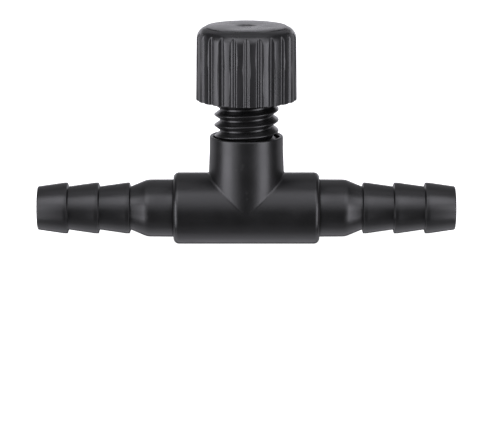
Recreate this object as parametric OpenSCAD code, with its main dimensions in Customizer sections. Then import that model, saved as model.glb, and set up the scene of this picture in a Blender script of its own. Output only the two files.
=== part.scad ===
// Inline needle valve for soft airline tube: a tee-shaped barrel with a hose
// tail at each end, and a fluted knob on a threaded spindle that shuts the flow.
// Millimetres, +Z up, +X along the flow. The origin is on the spindle's axis,
// level with the lowest line of the barrel. The valve is drawn fully open.

/* [Barrel] */
// Outside diameter of the barrel
barrel_d = 7.38; // [7.2:0.02:7.6]
// Length of the barrel between its two end faces
barrel_len = 15; // [14:0.5:18]
// Round-over on the barrel's ends
barrel_round = 0.5; // [0.2:0.05:0.5]

/* [Boss] */
// Outside diameter at the mouth of the boss
boss_d = 7.52; // [7.4:0.02:7.7]
// Outside diameter low on the boss, above the barrel
boss_base_d = 7.74; // [7.7:0.02:8]
// Height of the boss's mouth above the flow axis
boss_top = 7.6; // [7.5:0.1:8.4]

/* [Hose tails] */
// Length over both hose tails
overall_len = 43; // [42:0.5:46]
// Diameter over the crests that grip the tube
crest_d = 5.26; // [4.9:0.02:5.3]
// Diameter at the foot of each barb
root_d = 4.48; // [4.3:0.02:4.6]
// Barbs on each tail
barb_count = 3; // [2:1:3]
// Distance from one barb to the next
barb_pitch = 3.2; // [3:0.1:3.4]
// Diameter of the collar that the tube stops against
collar_d = 5.94; // [5.6:0.02:6]
// Air passage through each tail
tail_bore_d = 2.4; // [2:0.1:2.6]

/* [Thread] */
// Outside diameter of the spindle's thread
thread_d = 6.6; // [6.5:0.02:6.62]
// Root diameter of the spindle's thread
thread_root_d = 5.44; // [5.4:0.02:5.5]
// Rise for each turn, right-handed
thread_pitch = 1.1; // [1.08:0.01:1.15]
// Running clearance between spindle and boss
thread_clear = 0.08; // [0.06:0.01:0.08]
// Turns of the knob from fully open to shut
turns_to_shut = 1.75; // [1:0.25:1.75]

/* [Knob] */
// Diameter at the foot of the skirt
knob_d = 10.24; // [10:0.02:10.6]
// Diameter at the top of the skirt, under the shoulder
knob_top_d = 10.08; // [10:0.02:10.2]
// Height of the knob
knob_h = 7.52; // [7.4:0.02:8]
// Stretch of spindle showing between boss and knob when fully open
spindle_shows = 3.78; // [3.5:0.02:4]
// Number of flutes round the skirt
flute_count = 24; // [18:2:30]
// Depth of each flute
flute_depth = 0.2; // [0.15:0.01:0.25]
// Width of each flute
flute_w = 0.46; // [0.4:0.02:0.5]

/* [Seal and seat] */
// Bore that the spindle's seal runs in
seal_bore_d = 4.2; // [4.1:0.05:4.3]
// Thickness of the O-ring
o_ring_section = 0.84; // [0.8:0.01:0.86]
// Orifice through the seat ring
seat_hole_d = 0.9; // [0.8:0.05:1]

/* [Hidden] */
$fn = 96;
eps = 0.01;

// the flow axis lies this far above the barrel's lowest line
axis_z = barrel_d / 2;
travel = turns_to_shut * thread_pitch;

// hose tails: a spigot welded into a socket in each end of the barrel
tail_x = barrel_len / 2;
tail_tip = overall_len / 2 - tail_x;
barbs_foot = tail_tip - barb_count * barb_pitch;
collar_len = 2.7;
crest_land = 0.35;
crest_back = 0.12;
tip_round = 0.1;
spigot_d = 4.6;
spigot_len = 3;
socket_depth = 3.5;

// flow path: low inlet passage, up through the seat, out above it
passage_d = 1;
inlet_z = -1.75;
outlet_z = 0.05;
seat_top = -0.5;
seat_ring_d = 2.2;
seat_ring_h = 0.55;

// shelf under the thread, where the seal bore starts
shelf_z = 3.7;
lead_in = 0.15;

// boss, heights above the flow axis: widest band, then drawn in to the straight mouth
boss_wide_low = 2.4;
boss_wide_high = 3.6;
boss_straight_z = 6.2;
boss_edge = 0.08;
mouth_chamfer = 0.35;
mouth_chamfer_h = 0.5;

// thread form, half-widths measured from the middle of a crest
crest_half = 0.05;
flank_half = 0.52;
// the ridge starts this far inside the rod, and the tapped groove this far inside its bore
thread_bite = 0.06;
tap_bite = 0.025;
flank_slope = (flank_half - crest_half) / ((thread_d - thread_root_d) / 2 + thread_bite);
flank_clear = thread_clear * sqrt(1 + flank_slope * flank_slope);
// height of a crest above the flow axis where it crosses +X, fully open
crest_z = 0.48;
// sections in a turn, and sections over which each end of a ridge runs out
ring_steps = 36;
run_out = 9;
// a ridge's ends stop this far proud of where it starts, so that they never graze the rod
end_rise = 0.2;
// plain stretch below a ridge
thread_relief = 0.3;

// spindle, heights above the flow axis when fully open
knob_z = boss_top + spindle_shows;
// room round the O-ring, and how far it stays above the outlet passage when shut
ring_room = 0.04;
ring_above_outlet = 0.13;
ring_r = (seal_bore_d - o_ring_section) / 2 - ring_room;
ring_z = outlet_z + passage_d / 2 + o_ring_section / 2 + ring_above_outlet + travel;
groove_w = 1;
groove_lip = 0.3;
groove_d = 2 * ring_r - o_ring_section - ring_room;
plunger_room = 0.12;
plunger_d = seal_bore_d - plunger_room;
plunger_z = ring_z - groove_w / 2 - groove_lip;
// the thick part of the spindle stops just above the shelf when shut
stop_gap = 0.125;
thread_low = shelf_z + travel + stop_gap;
// the thread runs up inside the skirt, and the hub starts above it
thread_in_skirt = 0.95;
hub_recess = 2.47;
thread_high = knob_z + thread_in_skirt;
hub_z = knob_z + hub_recess;
hex_d = 4.4;
hex_len = 3.5;

// needle: the cone stops just short of the orifice's edge when shut
shut_gap = 0.02;
needle_tip_d = 0.2;
needle_slope = 0.25;
needle_z = seat_top + travel - (seat_hole_d / 2 - shut_gap - needle_tip_d / 2) / needle_slope;
needle_root_d = needle_tip_d + 2 * needle_slope * (plunger_z - needle_z);
needle_shank_d = 0.8;
needle_shank_len = 1.3;

// knob
skirt_wall = 1.1;
knob_roof = 1.3;
hub_d = 6;
shoulder_r = 1.2;
disc_d = 8.32;
disc_step = 0.07;
dimple_d = 2.35;
dimple_depth = 0.2;
foot_chamfer = 0.08;
knob_top = knob_z + knob_h;

black = [0.13, 0.13, 0.135];
dark_grey = [0.17, 0.17, 0.175];

// lifts what is drawn round the flow axis into the valve's frame
module on_flow_axis() {
    translate([0, 0, axis_z]) children();
}

// lays a form drawn along Z out along +X
module along_x() {
    rotate([0, 90, 0]) children();
}

// rod with both ends rounded over, standing on z = 0
module rounded_rod(d, len, round) {
    rotate_extrude() {
        square([d / 2 - round, len]);
        translate([0, round]) square([d / 2, len - 2 * round]);
        translate([d / 2 - round, round]) circle(round);
        translate([d / 2 - round, len - round]) circle(round);
    }
}

// four corners of the thread's section at one angle
function thread_ring(angle, z, r_in, r_out, half_in, half_out) =
    [for (p = [[r_in, -half_in], [r_out, -half_out], [r_out, half_out], [r_in, half_in]])
        [p[0] * cos(angle), p[0] * sin(angle), z + p[1]]];

// right-handed helical ridge from z_low to z_high, running out at both ends
module thread_ridge(r_in, r_out, half_in, half_out, z_low, z_high) {
    steps = round((z_high - z_low) / thread_pitch * ring_steps);
    start = 360 * (z_low - crest_z) / thread_pitch;
    rings = [for (i = [0:steps])
        let (grow = min(1, i / run_out, (steps - i) / run_out))
        thread_ring(start + i * 360 / ring_steps, z_low + i * thread_pitch / ring_steps,
                    r_in, r_in + end_rise + (r_out - r_in - end_rise) * grow, half_in, half_out)];
    sides = [for (i = [0:steps - 1], j = [0:3], half = [0, 1])
        let (a = 4 * i + j, b = 4 * i + (j + 1) % 4)
        half == 0 ? [a, b, b + 4] : [a, b + 4, a + 4]];
    polyhedron(points = [for (ring = rings) each ring],
               faces = concat([[3, 2, 1, 0]], sides, [[for (j = [0:3]) 4 * steps + j]]));
}

// boss: straight at the mouth, a little draft below, drawn in to meet the barrel
module boss_blank() {
    rotate_extrude()
        polygon([[0, 0], [barrel_d / 2, 0],
                 [boss_base_d / 2, boss_wide_low], [boss_base_d / 2, boss_wide_high],
                 [boss_d / 2, boss_straight_z], [boss_d / 2, boss_top - boss_edge],
                 [boss_d / 2 - boss_edge, boss_top], [0, boss_top]]);
}

// socket in one end of the barrel, and the passage that leads from it to start_x
module end_cut(passage_z, start_x) {
    translate([0, 0, tail_x - socket_depth]) cylinder(h = socket_depth + 1, d = spigot_d);
    translate([-passage_z, 0, start_x])
        cylinder(h = tail_x - socket_depth - start_x + 0.1, d = passage_d);
}

// barrel and boss, one moulding
module tee_body() {
    thread_bore_d = thread_root_d + 2 * thread_clear;
    tap_r_in = thread_bore_d / 2 - tap_bite;
    tap_r_out = thread_d / 2 + thread_clear;
    tap_half = flank_half + flank_clear - flank_slope * (thread_clear + thread_bite - tap_bite);
    tap_crest = tap_half - flank_slope * (tap_r_out - tap_r_in);
    color(black) on_flow_axis() difference() {
        union() {
            translate([-tail_x, 0, 0]) along_x() rounded_rod(barrel_d, barrel_len, barrel_round);
            boss_blank();
        }
        // the outlet starts inside the chamber, and the inlet runs just past the orifice
        along_x() end_cut(outlet_z, seal_bore_d / 4);
        mirror([1, 0, 0]) along_x() end_cut(inlet_z, -seat_hole_d / 3);
        // orifice up from the inlet passage, pocket for the seat ring
        translate([0, 0, inlet_z]) cylinder(h = 1, d = seat_hole_d);
        translate([0, 0, seat_top - seat_ring_h]) cylinder(h = seat_ring_h + 0.1, d = seat_ring_d);
        // chamber and seal bore, lead-in, threaded bore, mouth
        translate([0, 0, seat_top]) cylinder(h = shelf_z - seat_top + 0.1, d = seal_bore_d);
        translate([0, 0, shelf_z - lead_in])
            cylinder(h = lead_in, d1 = seal_bore_d, d2 = seal_bore_d + 2 * lead_in);
        translate([0, 0, shelf_z]) cylinder(h = boss_top, d = thread_bore_d);
        thread_ridge(tap_r_in, tap_r_out, tap_half, tap_crest, shelf_z + thread_relief,
                     boss_top + thread_pitch);
        translate([0, 0, boss_top - mouth_chamfer])
            cylinder(h = mouth_chamfer_h, d1 = thread_d - mouth_chamfer, d2 = thread_d + mouth_chamfer);
    }
}

// one hose tail, drawn along Z from the barrel's end face
module hose_tail() {
    root_r = root_d / 2;
    crest_r = crest_d / 2;
    barbs = [for (i = [0:barb_count - 1])
        let (foot = barbs_foot + i * barb_pitch, last = i == barb_count - 1)
        each [[root_r, foot], [crest_r, foot + crest_back], [crest_r, foot + crest_back + crest_land],
              [root_r, foot + barb_pitch - (last ? tip_round : 0)]]];
    rotate_extrude() difference() {
        polygon(concat([[0, -spigot_len], [spigot_d / 2, -spigot_len], [spigot_d / 2, 0],
                        [collar_d / 2, 0], [collar_d / 2, collar_len]],
                       barbs,
                       [[root_r - tip_round, tail_tip], [0, tail_tip]]));
        translate([-1, -spigot_len - 1]) square([tail_bore_d / 2 + 1, tail_tip + spigot_len + 2]);
    }
}

module inlet_barb() {
    color(black) on_flow_axis() mirror([1, 0, 0]) translate([tail_x, 0, 0]) along_x() hose_tail();
}

module outlet_barb() {
    color(black) on_flow_axis() translate([tail_x, 0, 0]) along_x() hose_tail();
}

// soft ring that the needle closes on
module seat_ring() {
    color("dimgray") on_flow_axis() translate([0, 0, seat_top - seat_ring_h])
        difference() {
            cylinder(h = seat_ring_h, d = seat_ring_d);
            translate([0, 0, -1]) cylinder(h = seat_ring_h + 2, d = seat_hole_d);
        }
}

// seal between spindle and bore
module stem_o_ring() {
    color("black") on_flow_axis() translate([0, 0, ring_z])
        rotate_extrude() translate([ring_r, 0]) circle(d = o_ring_section);
}

// spindle: plunger with the seal's groove, thread, hexagon for the knob
module stem() {
    color(dark_grey) on_flow_axis() difference() {
        union() {
            translate([0, 0, plunger_z]) cylinder(h = thread_low - plunger_z, d = plunger_d);
            translate([0, 0, thread_low]) cylinder(h = hub_z - thread_low, d = thread_root_d);
            translate([0, 0, hub_z - eps]) cylinder(h = hex_len + eps, d = hex_d, $fn = 6);
            thread_ridge(thread_root_d / 2 - thread_bite, thread_d / 2, flank_half, crest_half,
                         thread_low + thread_relief, thread_high);
        }
        translate([0, 0, ring_z - groove_w / 2]) difference() {
            cylinder(h = groove_w, d = plunger_d + 1);
            translate([0, 0, -1]) cylinder(h = groove_w + 2, d = groove_d);
        }
        translate([0, 0, plunger_z - 1]) cylinder(h = needle_shank_len + 1, d = needle_shank_d);
    }
}

// tapered tip that meters the flow, pressed into the spindle's lower end
module needle() {
    color("silver") on_flow_axis() {
        translate([0, 0, needle_z])
            cylinder(h = plunger_z - needle_z, d1 = needle_tip_d, d2 = needle_root_d);
        translate([0, 0, plunger_z - eps]) cylinder(h = needle_shank_len + eps, d = needle_shank_d);
    }
}

// outside of the knob, right half of its section
module knob_outline() {
    foot_r = knob_d / 2;
    top_r = knob_top_d / 2;
    shoulder_z = knob_top - disc_step / 2 - shoulder_r;
    polygon([[0, knob_z], [foot_r - foot_chamfer, knob_z], [foot_r, knob_z + foot_chamfer],
             [top_r, shoulder_z], [0, shoulder_z]]);
    translate([top_r - shoulder_r, shoulder_z]) circle(shoulder_r);
    translate([0, shoulder_z - eps]) square([top_r - shoulder_r, shoulder_r + eps]);
    translate([0, knob_top - 2 * disc_step]) square([disc_d / 2, 2 * disc_step]);
}

// fluted knob, hollow underneath, with a hub on the spindle's hexagon
module knob() {
    groove_r = (flute_w * flute_w / 4 + flute_depth * flute_depth) / (2 * flute_depth);
    hollow_d = knob_d - 2 * skirt_wall;
    color(dark_grey) on_flow_axis() difference() {
        rotate_extrude() knob_outline();
        for (i = [0:flute_count - 1])
            rotate(i * 360 / flute_count)
                translate([knob_top_d / 2 - flute_depth + groove_r, 0, knob_z - 1])
                    cylinder(h = knob_h + 2, r = groove_r, $fn = 24);
        difference() {
            translate([0, 0, knob_z - 1]) cylinder(h = knob_h + 1 - knob_roof, d = hollow_d);
            translate([0, 0, hub_z]) cylinder(h = knob_h, d = hub_d);
        }
        translate([0, 0, hub_z - 1]) cylinder(h = hex_len + 1, d = hex_d, $fn = 6);
        translate([0, 0, knob_top - dimple_depth]) cylinder(h = 1, d = dimple_d);
    }
}

tee_body();
inlet_barb();
outlet_barb();
seat_ring();
stem_o_ring();
stem();
needle();
knob();
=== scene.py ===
"""An inline needle valve for airline tube: a black moulded tee with two barbed
hose tails, a threaded spindle and a fluted knob, shown fully open."""

import math

import bmesh
import bpy
import numpy as np
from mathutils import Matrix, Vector


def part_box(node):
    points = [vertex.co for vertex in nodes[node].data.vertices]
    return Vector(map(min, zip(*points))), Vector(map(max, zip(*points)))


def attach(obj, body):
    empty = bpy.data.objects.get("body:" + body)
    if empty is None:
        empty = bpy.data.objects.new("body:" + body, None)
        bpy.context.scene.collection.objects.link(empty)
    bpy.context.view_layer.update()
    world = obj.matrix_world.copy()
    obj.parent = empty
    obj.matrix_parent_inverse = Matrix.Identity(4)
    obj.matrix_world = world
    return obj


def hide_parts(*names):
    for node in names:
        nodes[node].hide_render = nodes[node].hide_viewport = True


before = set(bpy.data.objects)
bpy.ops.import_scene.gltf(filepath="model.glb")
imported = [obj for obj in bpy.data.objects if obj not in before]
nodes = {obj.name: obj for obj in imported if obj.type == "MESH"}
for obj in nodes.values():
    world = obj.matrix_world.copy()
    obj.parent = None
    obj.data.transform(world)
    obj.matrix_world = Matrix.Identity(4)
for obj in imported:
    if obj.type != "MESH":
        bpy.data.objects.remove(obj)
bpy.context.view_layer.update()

MM = 0.001

# where the frame puts things, in millimetres from the flow axis
body_low, body_high = (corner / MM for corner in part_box("tee_body"))
tail_low, tail_high = (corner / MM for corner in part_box("outlet_barb"))
knob_low, knob_high = (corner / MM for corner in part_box("knob"))
stem_low, stem_high = (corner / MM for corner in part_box("stem"))

AXIS_Z = (tail_low.z + tail_high.z) / 2
BARREL_R = AXIS_Z - body_low.z
BARREL_END = body_high.x
BOSS_TOP = body_high.z - AXIS_Z
TIP_X = tail_high.x
KNOB_FOOT = knob_low.z - AXIS_Z
KNOB_TOP = knob_high.z - AXIS_Z
STEM_LOW = stem_low.z - AXIS_Z

# outline of the tee: rounding of the barrel's ends, then heights and radii up the boss
BARREL_ROUND = 0.55
BOSS_MOUTH_R = 3.76
BOSS_SIDE = [(2.4, 3.87), (3.6, 3.87), (6.2, BOSS_MOUTH_R)]
FILLET = 0.22

# thread: CREST_Z is the height of one crest on the +X side, CLEAR the play between the threads
THREAD_R = stem_high.x
ROOT_R = THREAD_R - 0.58
PITCH = 1.1
CREST_Z = 0.48
CLEAR = 0.08

# hexagon on the spindle, on which the knob is pressed
HUB_Z = KNOB_FOOT + 2.47
HEX_R = 2.2
HEX_TOP = HUB_Z + 3.5


# ---------------------------------------------------------------- tools

def let_go():
    """Nothing selected, object mode."""
    if bpy.context.object and bpy.context.object.mode != "OBJECT":
        bpy.ops.object.mode_set(mode="OBJECT")
    bpy.ops.object.select_all(action="DESELECT")


def take(piece):
    """Only this piece selected and active."""
    let_go()
    piece.select_set(True)
    bpy.context.view_layer.objects.active = piece


def place(along, lie):
    """A point on the turning axis: the flow axis when it lies, the spindle's when it stands."""
    if lie:
        return Vector((along, 0, AXIS_Z)) * MM
    return Vector((0, 0, AXIS_Z + along)) * MM


def start_ring(name, along, radius, sides, lie=False):
    """An open circle, left in edit mode and selected, from which a form is drawn out."""
    let_go()
    bpy.ops.mesh.primitive_circle_add(
        vertices=sides, radius=radius * MM, location=place(along, lie),
        rotation=(0, math.pi / 2, 0) if lie else (0, 0, 0))
    ring = bpy.context.object
    ring.name = ring.data.name = name
    bpy.ops.object.mode_set(mode="EDIT")
    bpy.ops.mesh.select_all(action="SELECT")
    return ring


def draw_out(stations, lie=False):
    """Extrudes the selected ring through the stations, each a distance along the axis and
    a radius. The first station is where the ring is."""
    for (along, radius), (next_along, next_radius) in zip(stations, stations[1:]):
        step = place(next_along, lie) - place(along, lie)
        bpy.ops.mesh.extrude_region_move(TRANSFORM_OT_translate={"value": step})
        if next_radius != radius:
            grow = next_radius / radius
            bpy.ops.transform.resize(value=(grow, grow, grow),
                                     center_override=place(next_along, lie))


def round_the_loop(stations, sides, name, lie=False):
    """A ring-shaped body turned from a closed section."""
    piece = start_ring(name, *stations[0], sides, lie)
    draw_out(stations + stations[:1], lie)
    weld()
    return piece


def turned(stations, sides, name, lie=False):
    """A solid body turned from a section whose ends are closed by fans to the axis."""
    piece = start_ring(name, *stations[0], sides, lie)
    bpy.ops.mesh.extrude_region_move(TRANSFORM_OT_translate={"value": (0, 0, 0)})
    bpy.ops.mesh.merge(type="CENTER")
    pick_ring(piece, *stations[0], lie)
    draw_out(stations, lie)
    bpy.ops.mesh.extrude_region_move(TRANSFORM_OT_translate={"value": (0, 0, 0)})
    bpy.ops.mesh.merge(type="CENTER")
    weld()
    return piece


def weld():
    """Joins the points that meet and turns every face outwards."""
    bpy.ops.mesh.select_all(action="SELECT")
    bpy.ops.mesh.remove_doubles(threshold=1e-7)
    bpy.ops.mesh.normals_make_consistent(inside=False)
    bpy.ops.mesh.select_all(action="DESELECT")


def polar(piece, vert, lie=False):
    """(distance along the axis, radius) of a point, in millimetres."""
    spot = (piece.matrix_world @ vert.co) / MM
    if lie:
        return spot.x, math.hypot(spot.y, spot.z - AXIS_Z)
    return spot.z - AXIS_Z, math.hypot(spot.x, spot.y)


def pick_ring(piece, along, radius, lie=False):
    """Selects the edges of one ring."""
    near = 2e-3
    mesh = bmesh.from_edit_mesh(piece.data)
    bpy.ops.mesh.select_all(action="DESELECT")
    bpy.context.tool_settings.mesh_select_mode = (False, True, False)
    for edge in mesh.edges:
        spots = [polar(piece, v, lie) for v in edge.verts]
        edge.select = all(abs(a - along) < near and abs(r - radius) < near for a, r in spots)
    mesh.select_flush(True)
    bmesh.update_edit_mesh(piece.data)


def soften(piece, along, radius, width, segments=3, lie=False):
    """Rounds over one ring's edge."""
    pick_ring(piece, along, radius, lie)
    bpy.ops.mesh.bevel(offset=width * MM, segments=segments, affect="EDGES")


def settle(piece, angle=30):
    """Leaves edit mode and puts the piece's place into its mesh, with smooth shading."""
    take(piece)
    bpy.ops.object.transform_apply(location=True, rotation=True, scale=True)
    bpy.ops.object.shade_smooth_by_angle(angle=math.radians(angle))
    return piece


def apply(piece, kind, **settings):
    """Adds a modifier, sets it and applies it."""
    take(piece)
    modifier = piece.modifiers.new(kind.title(), kind)
    for key, value in settings.items():
        setattr(modifier, key, value)
    bpy.ops.object.modifier_apply(modifier=modifier.name)


def cut(piece, tool, operation="DIFFERENCE"):
    """Cuts the tool out of the piece, or fuses it on, and discards the tool."""
    apply(piece, "BOOLEAN", operation=operation, object=tool, solver="EXACT")
    bpy.data.objects.remove(tool)


def heal(piece):
    """Closes any pinhole that a cut leaves and welds the skin again."""
    take(piece)
    bpy.ops.object.mode_set(mode="EDIT")
    bpy.ops.mesh.select_all(action="SELECT")
    bpy.ops.mesh.fill_holes(sides=6)
    weld()
    bpy.ops.object.mode_set(mode="OBJECT")


def arc(along, radius, bend, start, end, steps):
    """Points of an arc about (along, radius), by angles in degrees from straight outwards
    towards the far end."""
    turns = (math.radians(start + (end - start) * i / steps) for i in range(steps + 1))
    return [(along + bend * math.sin(a), radius + bend * math.cos(a)) for a in turns]


# ---------------------------------------------------------------- pieces

def hose_tail():
    """The outlet's tail: spigot, collar, cone and three barbs round an open bore."""
    spigot_r, collar_r, root_r, crest_r, bore_r = 2.28, tail_high.y, 2.24, 2.63, 1.2
    shoulder_r = collar_r - 0.02
    face, tip = BARREL_END, TIP_X
    inner_end, shoulder = face - 3, face + 2.7
    barbs, pitch, land, back = 3, 3.2, 0.35, 0.12
    foot = tip - barbs * pitch
    section = [(inner_end, bore_r), (inner_end, spigot_r), (face, spigot_r), (face, collar_r),
               (shoulder, shoulder_r), (foot, root_r)]
    for barb in range(barbs):
        heel = foot + barb * pitch
        end = tip if barb == barbs - 1 else heel + pitch
        section += [(heel + back, crest_r), (heel + back + land, crest_r), (end, root_r)]
    section += [(tip, bore_r)]
    piece = round_the_loop(section, 144, "hose_tail_outlet", lie=True)
    soften(piece, shoulder, shoulder_r, 0.3, 5, lie=True)
    soften(piece, face, collar_r, 0.05, 2, lie=True)
    for barb in range(barbs):
        heel = foot + barb * pitch
        soften(piece, heel + back, crest_r, 0.05, 2, lie=True)
        soften(piece, heel + back + land, crest_r, 0.12, 3, lie=True)
        soften(piece, heel, root_r, 0.06, 2, lie=True)
    soften(piece, tip, root_r, 0.12, 4, lie=True)
    soften(piece, tip, bore_r, 0.1, 3, lie=True)
    return settle(piece)


def mirrored(piece, name):
    """A copy with its own mesh, mirrored to the other end of the barrel."""
    take(piece)
    bpy.ops.object.duplicate()
    copy = bpy.context.object
    copy.name = copy.data.name = name
    bpy.ops.transform.mirror(constraint_axis=(True, False, False), center_override=(0, 0, 0))
    bpy.ops.object.transform_apply(location=True, rotation=True, scale=True)
    bpy.ops.object.mode_set(mode="EDIT")
    weld()
    return settle(copy)


def thread_rod(name, root_r, crest_r, crest_half, root_half, low, high):
    """A right-handed threaded rod: one pitch of its outline, screwed up the axis and cut off
    square. The halves are half the ridge's width at its crest and at its root."""
    let_go()
    bpy.context.tool_settings.mesh_select_mode = (True, False, False)
    bpy.ops.mesh.primitive_plane_add(size=MM, location=place(0, False))
    rod = bpy.context.object
    rod.name = rod.data.name = name
    bpy.ops.object.mode_set(mode="EDIT")
    bpy.ops.mesh.select_all(action="SELECT")
    bpy.ops.mesh.merge(type="CENTER")
    first = CREST_Z + math.floor((low - CREST_Z) / PITCH - 1) * PITCH
    turns = math.ceil((high - first) / PITCH) + 1
    steps = 72
    soft = 0.03
    edge_r, edge, flat = crest_r - soft, crest_half + soft * 0.8, crest_half * 0.4
    section = [(root_r, -PITCH / 2), (root_r, -root_half), (edge_r, -edge), (crest_r, -flat),
               (crest_r, flat), (edge_r, edge), (root_r, root_half), (root_r, PITCH / 2)]
    corners = [Vector((r, 0, first + z)) * MM for r, z in section]
    bpy.ops.transform.translate(value=corners[0])
    for here, there in zip(corners, corners[1:]):
        bpy.ops.mesh.extrude_region_move(TRANSFORM_OT_translate={"value": there - here})
    bpy.ops.object.mode_set(mode="OBJECT")
    apply(rod, "SCREW", axis="Z", screw_offset=PITCH * MM, angle=2 * math.pi, iterations=turns,
          steps=steps, render_steps=steps, use_merge_vertices=True, merge_threshold=1e-6)
    bpy.ops.object.mode_set(mode="EDIT")
    weld()
    for height, way in ((low, -1), (high, 1)):
        bpy.ops.mesh.select_all(action="SELECT")
        bpy.ops.mesh.bisect(plane_co=place(height, False), plane_no=(0, 0, way),
                            use_fill=True, clear_outer=True, threshold=1e-7)
    weld()
    bpy.ops.object.mode_set(mode="OBJECT")
    return rod


def spindle():
    """Threaded spindle, with the seal's groove round its plunger and a hexagon on top."""
    plunger_r, groove_r, neck_r, chamfer = 2.04, 1.2, 2.6, 0.1
    needle_r, needle_top = 0.4, STEM_LOW + 1.3
    ring_low, ring_high = (corner.z / MM - AXIS_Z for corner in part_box("stem_o_ring"))
    ring_z = (ring_low + ring_high) / 2
    groove_low, groove_high = ring_z - 0.5, ring_z + 0.5
    thread_low, thread_high = 5.75, KNOB_FOOT + 0.9
    overlap = 0.3
    rod = thread_rod("spindle", ROOT_R, THREAD_R, crest_half=0.05, root_half=0.476,
                     low=thread_low, high=thread_high)
    core = turned([(needle_top, needle_r), (STEM_LOW, needle_r), (STEM_LOW, plunger_r - chamfer),
                   (STEM_LOW + chamfer, plunger_r), (groove_low, plunger_r),
                   (groove_low, groove_r), (groove_high, groove_r), (groove_high, plunger_r),
                   (thread_low + overlap, plunger_r), (thread_low + overlap, neck_r),
                   (HUB_Z, neck_r)], 96, "core")
    cut(rod, settle(core), "UNION")
    hexagon = [(HUB_Z - overlap, HEX_R), (HEX_TOP, HEX_R)]
    cut(rod, settle(turned(hexagon, 6, "hexagon")), "UNION")
    return settle(rod, 35)


def boss_radius(height):
    """Outside radius of the boss at heights above the flow axis."""
    heights, radii = zip((0, BARREL_R), *BOSS_SIDE)
    return np.interp(height, heights, radii)


def tee_skin(spots):
    """Distance outside the barrel and boss, filleted together, for points in millimetres."""
    x, y, z = spots.T
    tiny = 1e-9
    from_flow, from_spindle = np.hypot(y, z), np.hypot(x, y)
    over = np.stack([from_flow - (BARREL_R - BARREL_ROUND),
                     np.abs(x) - (BARREL_END - BARREL_ROUND)])
    barrel = np.minimum(over.max(0), 0) + np.hypot(*np.maximum(over, 0)) - BARREL_ROUND
    # below the flow axis the boss ends in a half ball inside the barrel
    from_centre = np.hypot(from_spindle, z)
    upright = np.where(z > 0, from_spindle - boss_radius(z), from_centre - BARREL_R)
    # the fillet fades where the two surfaces run the same way
    alike = np.where(z > 0, y * y / np.maximum(from_flow * from_spindle, tiny),
                     from_flow / np.maximum(from_centre, tiny))
    fillet = FILLET * np.clip(1 - alike, 0.001, 1)
    near = np.maximum(fillet - np.abs(barrel - upright), 0) / fillet
    return np.minimum(barrel, upright) - near * near * fillet / 4


def press_to_skin(piece, passes=4):
    """Moves every point of the piece onto the filleted skin."""
    count = len(piece.data.vertices)
    flat = np.empty(count * 3)
    piece.data.vertices.foreach_get("co", flat)
    spots = flat.reshape(-1, 3) / MM - [0, 0, AXIS_Z]
    nudge, flattest, top_margin = 1e-3, 0.25, 0.3
    for _ in range(passes):
        away = tee_skin(spots)
        slope = np.stack([tee_skin(spots + nudge * axis) - tee_skin(spots - nudge * axis)
                          for axis in np.eye(3)], 1) / (2 * nudge)
        step = slope * (away / np.maximum((slope ** 2).sum(1), flattest))[:, None]
        # the boss's raw end stays where it is, for the mouth's cut removes it
        step[spots[:, 2] > BOSS_TOP + top_margin] = 0
        spots -= step
    piece.data.vertices.foreach_set("co", ((spots + [0, 0, AXIS_Z]) * MM).ravel())
    piece.data.update()


def tee():
    """Barrel and boss in one skin, then bored, threaded, socketed and drilled."""
    round_start = BARREL_END - BARREL_ROUND
    face_r = BARREL_R - BARREL_ROUND
    stretch = [(-BARREL_END, face_r), (-round_start, BARREL_R), (round_start, BARREL_R),
               (BARREL_END, face_r)]
    body = settle(turned(stretch, 96, "valve_body", lie=True))
    upper = [(0.2, BARREL_R - 0.1), *BOSS_SIDE, (BOSS_TOP + 0.6, BOSS_MOUTH_R)]
    cut(body, settle(turned(upper, 96, "boss")), "UNION")
    voxel = 0.09
    apply(body, "REMESH", mode="VOXEL", voxel_size=voxel * MM)
    press_to_skin(body)

    # one cutter bores the boss and rounds its rim: chamber, shelf, thread's core, counterbore
    bore_r, seal_r = ROOT_R + CLEAR, 2.1
    shelf, floor, ramp = 3.7, -0.5, 0.15
    rim, rim_r, chamfer = 0.12, boss_radius(BOSS_TOP), 0.1
    lead_z, lead_r = BOSS_TOP - 0.6, THREAD_R + CLEAR + 0.03
    rim_z = BOSS_TOP - rim
    past_r, past_top = 5, BOSS_TOP + 2
    mouth = ([(floor, seal_r), (shelf - ramp, seal_r), (shelf, seal_r + ramp), (shelf, bore_r),
              (lead_z, bore_r), (lead_z, lead_r), (rim_z, lead_r), (BOSS_TOP, lead_r + chamfer)]
             + arc(rim_z, rim_r - rim, rim, 90, 0, 5)
             + [(rim_z, past_r), (past_top, past_r)])
    cut(body, settle(turned(mouth, 192, "bore")))
    tap_low, tap_high = shelf + 0.02, (lead_z + BOSS_TOP) / 2
    cut(body, thread_rod("tap", bore_r - 0.01, THREAD_R + CLEAR, crest_half=0.09, root_half=0.52,
                         low=tap_low, high=tap_high))

    socket_end, socket_r = BARREL_END - 3.5, 2.3
    past_face, overlap = 1, 0.5
    for way in (-1, 1):
        socket = [(way * socket_end, socket_r), (way * (BARREL_END + past_face), socket_r)]
        cut(body, settle(turned(socket, 96, "socket", lie=True)))
    drill_passages(body, socket_end + overlap)
    heal(body)
    return settle(body, 35)


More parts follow.
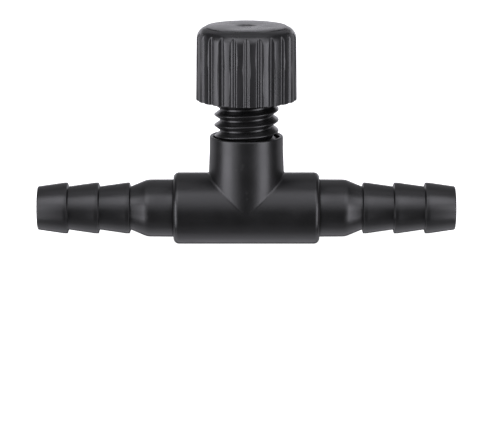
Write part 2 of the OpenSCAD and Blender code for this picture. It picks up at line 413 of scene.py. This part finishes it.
def drill_passages(body, reach):
    """Seat and air way: in low on the left, up through the seat, out above it on the right."""
    passage_r, low, high = 0.5, -1.75, 0.05
    seat = [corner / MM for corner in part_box("seat_ring")]
    seat_low, seat_high, seat_r = seat[0].z - AXIS_Z, seat[1].z - AXIS_Z, seat[1].x
    overlap = 0.1
    well = [(low, passage_r), (seat_low, passage_r), (seat_low, seat_r),
            (seat_high + overlap, seat_r)]
    cut(body, settle(turned(well, 64, "well")))
    past_seat, in_chamber = 0.3, 1
    for level, start, end in ((low, past_seat, -reach), (high, in_chamber, reach)):
        drill = turned([(start, passage_r), (end, passage_r)], 48, "drill", lie=True)
        take(drill)
        bpy.ops.transform.translate(value=(0, 0, level * MM))
        cut(body, settle(drill))


def knob():
    """Fluted knob: skirt, rounded shoulder, raised disc with a shallow dish, hollow underneath."""
    flutes, columns = 24, 32
    foot_r, top_r, hollow_r, hub_r = 5.15, 5.07, 4.02, 3.0
    shoulder_r, step, dish_r, dish = 1.2, 0.07, 1.18, 0.09
    foot_round, disc_round, dish_round, chamfer = 0.09, 0.05, 0.06, 0.1
    spring = KNOB_TOP - step / 2 - shoulder_r
    roof = KNOB_TOP - 1.3
    skirt_low = KNOB_FOOT + foot_round
    rows = 8
    foot = arc(skirt_low, foot_r - foot_round, foot_round, -90, 0, 4)
    skirt = [(skirt_low + (spring - skirt_low) * i / rows, foot_r + (top_r - foot_r) * i / rows)
             for i in range(1, rows)]
    shoulder = arc(spring, top_r - shoulder_r, shoulder_r, 0,
                   math.degrees(math.asin((KNOB_TOP - step - spring) / shoulder_r)), 18)
    disc_r = shoulder[-1][1]
    dish_bend = (dish_r ** 2 + dish ** 2) / (2 * dish)
    dish_tilt = math.degrees(math.asin(dish_r / dish_bend))
    # the dish's arc stops two degrees short of the axis, and a fan closes it
    crown = (arc(KNOB_TOP - disc_round, disc_r - disc_round, disc_round, 0, 90, 4)
             + [(KNOB_TOP, (disc_r + dish_r) / 2), (KNOB_TOP, dish_r + dish_round)]
             + arc(KNOB_TOP - dish + dish_bend, 0, dish_bend, dish_tilt - 90, -88, 6))
    inside = [(HUB_Z, 0.4), (HUB_Z, hub_r), (roof, hub_r), (roof, hollow_r),
              (KNOB_FOOT + chamfer, hollow_r), (KNOB_FOOT, hollow_r + chamfer)]
    outside = foot + skirt + shoulder
    piece = turned(inside + outside + crown, flutes * columns, "fluted_knob")
    press_flutes(piece, outside, flutes * columns, columns, top_r)
    hexagon = [(HUB_Z - 1, HEX_R), (HEX_TOP, HEX_R)]
    cut(settle(piece), settle(turned(hexagon, 6, "hex_socket")))
    return settle(piece, 40)


def flute_depth(across):
    """Depth of a flute at this distance from its middle: round floor, straight flanks and
    round lips."""
    floor_r, lip_r, tilt, flank = 0.22, 0.2, math.radians(42), 0.14
    floor_end = floor_r * math.sin(tilt)
    flank_end = floor_end + flank * math.cos(tilt)
    half_width = flank_end + lip_r * math.sin(tilt)
    depth = (floor_r + lip_r) * (1 - math.cos(tilt)) + flank * math.sin(tilt)
    if across >= half_width:
        return 0
    if across >= flank_end:
        return lip_r - math.sqrt(lip_r ** 2 - (half_width - across) ** 2)
    if across >= floor_end:
        return lip_r * (1 - math.cos(tilt)) + (flank_end - across) * math.tan(tilt)
    return depth - floor_r + math.sqrt(floor_r ** 2 - across ** 2)


def press_flutes(piece, outside, sides, columns, skirt_r):
    """Draws in the columns of points under each flute to the flute's floor, ring by ring."""
    bpy.ops.mesh.select_all(action="DESELECT")
    bpy.context.tool_settings.mesh_select_mode = (True, False, False)
    pitch = 2 * math.pi * skirt_r / sides
    mesh = bmesh.from_edit_mesh(piece.data)
    by_place = {}
    for vert in mesh.verts:
        along, radius = polar(piece, vert)
        spot = piece.matrix_world @ vert.co
        column = round(math.atan2(spot.y, spot.x) / (2 * math.pi) * sides) % columns
        column = min(column, columns - column)
        by_place.setdefault((round(along, 3), round(radius, 3), column), []).append(vert.index)
    for along, radius in outside:
        for column in range(columns // 2):
            depth = flute_depth(column * pitch)
            floor = skirt_r - depth
            if depth == 0 or radius <= floor:
                continue
            mesh = bmesh.from_edit_mesh(piece.data)
            mesh.verts.ensure_lookup_table()
            for index in by_place.get((round(along, 3), round(radius, 3), column), []):
                mesh.verts[index].select = True
            mesh.select_flush(True)
            bmesh.update_edit_mesh(piece.data)
            shrink = floor / radius
            bpy.ops.transform.resize(value=(shrink, shrink, 1),
                                     center_override=place(along, False))
            bpy.ops.mesh.select_all(action="DESELECT")


# ---------------------------------------------------------------- finishes

def grain_group():
    """Moulded grain: a height for the bump, a slow blotch for the sheen, and edges rubbed
    by handling."""
    group = bpy.data.node_groups.new("moulded_grain", "ShaderNodeTree")
    for name, kind in (("Grain", "NodeSocketFloat"), ("Blotch", "NodeSocketFloat")):
        group.interface.new_socket(name, in_out="INPUT", socket_type=kind)
    for name in ("Height", "Sheen", "Edge"):
        group.interface.new_socket(name, in_out="OUTPUT", socket_type="NodeSocketFloat")
    tree = group.nodes
    into, out = tree.new("NodeGroupInput"), tree.new("NodeGroupOutput")
    where = tree.new("ShaderNodeTexCoord")
    fine, slow = tree.new("ShaderNodeTexNoise"), tree.new("ShaderNodeTexNoise")
    fine.inputs["Detail"].default_value = 3
    slow.inputs["Detail"].default_value = 4
    link = group.links.new
    link(where.outputs["Object"], fine.inputs["Vector"])
    link(where.outputs["Object"], slow.inputs["Vector"])
    link(into.outputs["Grain"], fine.inputs["Scale"])
    link(into.outputs["Blotch"], slow.inputs["Scale"])
    link(fine.outputs["Fac"], out.inputs["Height"])
    shape, rubbed, broken = (tree.new(kind) for kind in
                             ("ShaderNodeNewGeometry", "ShaderNodeMapRange", "ShaderNodeMath"))
    rubbed.inputs["From Min"].default_value = 0.505
    rubbed.inputs["From Max"].default_value = 0.56
    broken.operation = "MULTIPLY"
    link(shape.outputs["Pointiness"], rubbed.inputs["Value"])
    link(rubbed.outputs["Result"], broken.inputs[0])
    link(slow.outputs["Fac"], broken.inputs[1])
    link(broken.outputs["Value"], out.inputs["Edge"])
    link(slow.outputs["Fac"], out.inputs["Sheen"])
    return group


GRAIN = grain_group()


def spread(tree, value, low, high):
    """Maps a noise, which keeps mostly between 0.3 and 0.7, onto a narrow range."""
    span = tree.nodes.new("ShaderNodeMapRange")
    span.inputs["From Min"].default_value = 0.3
    span.inputs["From Max"].default_value = 0.7
    span.inputs["To Min"].default_value = low
    span.inputs["To Max"].default_value = high
    tree.links.new(value, span.inputs["Value"])
    return span.outputs["Result"]


def moulded_plastic(name, dark, light, rough, grain, bump, rub=0.012):
    """Black plastic straight from the mould: satin, faintly grained, never quite even."""
    finish = bpy.data.materials.new(name)
    finish.use_nodes = True
    tree = finish.node_tree
    shader = tree.nodes["Principled BSDF"]
    texture = tree.nodes.new("ShaderNodeGroup")
    texture.node_tree = GRAIN
    texture.inputs["Grain"].default_value = grain
    texture.inputs["Blotch"].default_value = 350
    mix = tree.nodes.new("ShaderNodeMix")
    mix.data_type = "RGBA"
    mix.inputs["A"].default_value = (*dark, 1)
    mix.inputs["B"].default_value = (*light, 1)
    wear = tree.nodes.new("ShaderNodeMix")
    wear.data_type = "RGBA"
    wear.inputs["B"].default_value = (dark[0] + rub, dark[1] + rub, dark[2] + rub, 1)
    bumps = tree.nodes.new("ShaderNodeBump")
    bumps.inputs["Strength"].default_value = bump
    bumps.inputs["Distance"].default_value = 0.00002
    link = tree.links.new
    link(texture.outputs["Sheen"], mix.inputs["Factor"])
    link(mix.outputs["Result"], wear.inputs["A"])
    link(texture.outputs["Edge"], wear.inputs["Factor"])
    link(wear.outputs["Result"], shader.inputs["Base Color"])
    uneven = 0.04
    sheen = spread(tree, texture.outputs["Sheen"], rough - uneven, rough + uneven)
    link(sheen, shader.inputs["Roughness"])
    link(texture.outputs["Height"], bumps.inputs["Height"])
    link(bumps.outputs["Normal"], shader.inputs["Normal"])
    shader.inputs["IOR"].default_value = 1.5
    return finish


def put_on(piece, finish):
    """One finish over the whole piece."""
    piece.data.materials.clear()
    piece.data.materials.append(finish)


# ---------------------------------------------------------------- assembly

body_black = moulded_plastic("body_black", (0.0038, 0.0038, 0.0038), (0.0054, 0.0054, 0.0056),
                             rough=0.33, grain=9000, bump=0.15)
knob_black = moulded_plastic("knob_black", (0.008, 0.008, 0.0083), (0.012, 0.012, 0.0125),
                             rough=0.28, grain=5000, bump=0.03, rub=0.004)
stem_black = moulded_plastic("stem_black", (0.004, 0.004, 0.004), (0.006, 0.006, 0.006),
                             rough=0.28, grain=7000, bump=0.06)
seal_black = moulded_plastic("seal_rubber", (0.012, 0.012, 0.012), (0.02, 0.02, 0.02),
                             rough=0.6, grain=6000, bump=0.5)
seat_grey = moulded_plastic("seat_rubber", (0.07, 0.07, 0.068), (0.1, 0.1, 0.096),
                            rough=0.65, grain=6000, bump=0.5)

outlet = hose_tail()
pieces = {
    "outlet_barb": (outlet, "valve_body", "body_plastic", body_black),
    "inlet_barb": (mirrored(outlet, "hose_tail_inlet"), "valve_body", "body_plastic", body_black),
    "tee_body": (tee(), "valve_body", "body_plastic", body_black),
    "stem": (spindle(), "spindle", "stem_plastic", stem_black),
    "knob": (knob(), "spindle", "knob_plastic", knob_black),
}
for node, (piece, body, slot, finish) in pieces.items():
    put_on(piece, finish)
    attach(piece, body)
    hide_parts(node)
put_on(nodes["stem_o_ring"], seal_black)
put_on(nodes["seat_ring"], seat_grey)


def ground_steel():
    """Needle: bright steel with fine rings left by grinding."""
    finish = bpy.data.materials.new("ground_steel")
    finish.use_nodes = True
    tree = finish.node_tree
    shader = tree.nodes["Principled BSDF"]
    shader.inputs["Base Color"].default_value = (0.56, 0.57, 0.58, 1)
    shader.inputs["Metallic"].default_value = 1
    where = tree.nodes.new("ShaderNodeTexCoord")
    rings = tree.nodes.new("ShaderNodeTexWave")
    rings.wave_type = "BANDS"
    rings.bands_direction = "Z"
    rings.inputs["Scale"].default_value = 6000
    rings.inputs["Distortion"].default_value = 2
    tree.links.new(where.outputs["Object"], rings.inputs["Vector"])
    tree.links.new(spread(tree, rings.outputs["Fac"], 0.22, 0.34), shader.inputs["Roughness"])
    return finish


put_on(nodes["needle"], ground_steel())

# ---------------------------------------------------------------- studio

def softbox(name, azimuth, elevation, distance, size, glow):
    """A soft panel facing the valve: azimuth from straight in front, positive to the right."""
    turn, rise = math.radians(azimuth), math.radians(elevation)
    out, up = math.cos(rise), math.sin(rise)
    way = Vector((math.sin(turn) * out, -math.cos(turn) * out, up))
    middle = place(4, False)
    let_go()
    bpy.ops.object.light_add(type="AREA", location=middle + way * distance * MM)
    panel = bpy.context.object
    panel.name = name
    panel.data.shape = "RECTANGLE"
    panel.data.size, panel.data.size_y = (side * MM for side in size)
    panel.data.energy = glow * math.pi * size[0] * size[1] * MM * MM
    panel.data.color = (0.94, 0.93, 1)
    panel.rotation_euler = way.to_track_quat("Z", "Y").to_euler()
    panel.visible_camera = False


# beside the valve: the two bands down the boss
softbox("left_panel", -63, -10, 200, (110, 220), 3.7)
softbox("left_fill", -38, -10, 210, (90, 220), 1.3)
softbox("right_panel", 55, -10, 200, (100, 220), 3.7)
softbox("right_fill", 34, -10, 210, (70, 220), 0.8)
# close by, level with the top of the knob
softbox("left_near", -58, 20, 76, (50, 70), 1.2)
softbox("right_near", 56, 20, 76, (50, 70), 1.1)
softbox("left_high", -36, 44, 130, (80, 80), 1.5)
softbox("right_high", 36, 44, 130, (80, 80), 1.3)
# grazing light on the outlines
softbox("left_rim", -135, -8, 220, (200, 260), 0.6)
softbox("right_rim", 135, -8, 220, (200, 260), 0.5)
# above: the band along the barrel and tails
softbox("front_low", 0, 14, 240, (300, 70), 0.7)
softbox("front_panel", 0, 46, 240, (300, 215), 1.4)
softbox("top_panel", 0, 92, 240, (300, 130), 0.7)
softbox("back_top", 180, 48, 240, (300, 170), 0.4)
softbox("back_panel", 180, 8, 260, (260, 90), 1.05)
# below: the glow off the table, which the floor lets through
softbox("front_table", 0, -64, 120, (200, 60), 0.3)
softbox("light_table", 180, -75, 90, (160, 90), 0.9)

let_go()
bpy.ops.mesh.primitive_plane_add(size=4, location=(0, 0, 0))
floor = bpy.context.object
floor.name = "floor"


def pale_floor():
    """White, with a glow of its own as a light table has, and clear from underneath."""
    finish = bpy.data.materials.new("pale_floor")
    finish.use_nodes = True
    shader = finish.node_tree.nodes["Principled BSDF"]
    shader.inputs["Base Color"].default_value = (0.9, 0.9, 0.9, 1)
    shader.inputs["Roughness"].default_value = 0.9
    shader.inputs["Emission Color"].default_value = (1, 1, 1, 1)
    shader.inputs["Emission Strength"].default_value = 0.95
    side = finish.node_tree.nodes.new("ShaderNodeNewGeometry")
    above = finish.node_tree.nodes.new("ShaderNodeMath")
    above.operation = "SUBTRACT"
    above.inputs[0].default_value = 1
    finish.node_tree.links.new(side.outputs["Backfacing"], above.inputs[1])
    finish.node_tree.links.new(above.outputs["Value"], shader.inputs["Alpha"])
    return finish


put_on(floor, pale_floor())
floor.visible_diffuse = floor.visible_glossy = floor.visible_shadow = False


def studio_world():
    """A white surround to the camera, a dim one to the valve."""
    world = bpy.data.worlds.new("studio")
    world.use_nodes = True
    tree = world.node_tree
    seen = tree.nodes.new("ShaderNodeLightPath")
    level = tree.nodes.new("ShaderNodeMapRange")
    level.inputs["To Min"].default_value = 0.05
    level.inputs["To Max"].default_value = 1
    tree.links.new(seen.outputs["Is Camera Ray"], level.inputs["Value"])
    tree.links.new(level.outputs["Result"], tree.nodes["Background"].inputs["Strength"])
    tree.nodes["Background"].inputs["Color"].default_value = (1, 1, 1, 1)
    return world


bpy.context.scene.world = studio_world()
bpy.context.scene.view_settings.view_transform = "Standard"

# a long lens, looking down a little from in front
EYE = Vector((-0.246, -246.5, 54.9 + AXIS_Z)) * MM
LOOK_DOWN = 12.78
let_go()
bpy.ops.object.camera_add(location=EYE, rotation=(math.radians(90 - LOOK_DOWN), 0, 0))
camera = bpy.context.object
camera.name = "camera"
camera.data.lens = 180.6
camera.data.sensor_width = 36
camera.data.clip_start = 0.01
bpy.context.scene.camera = camera
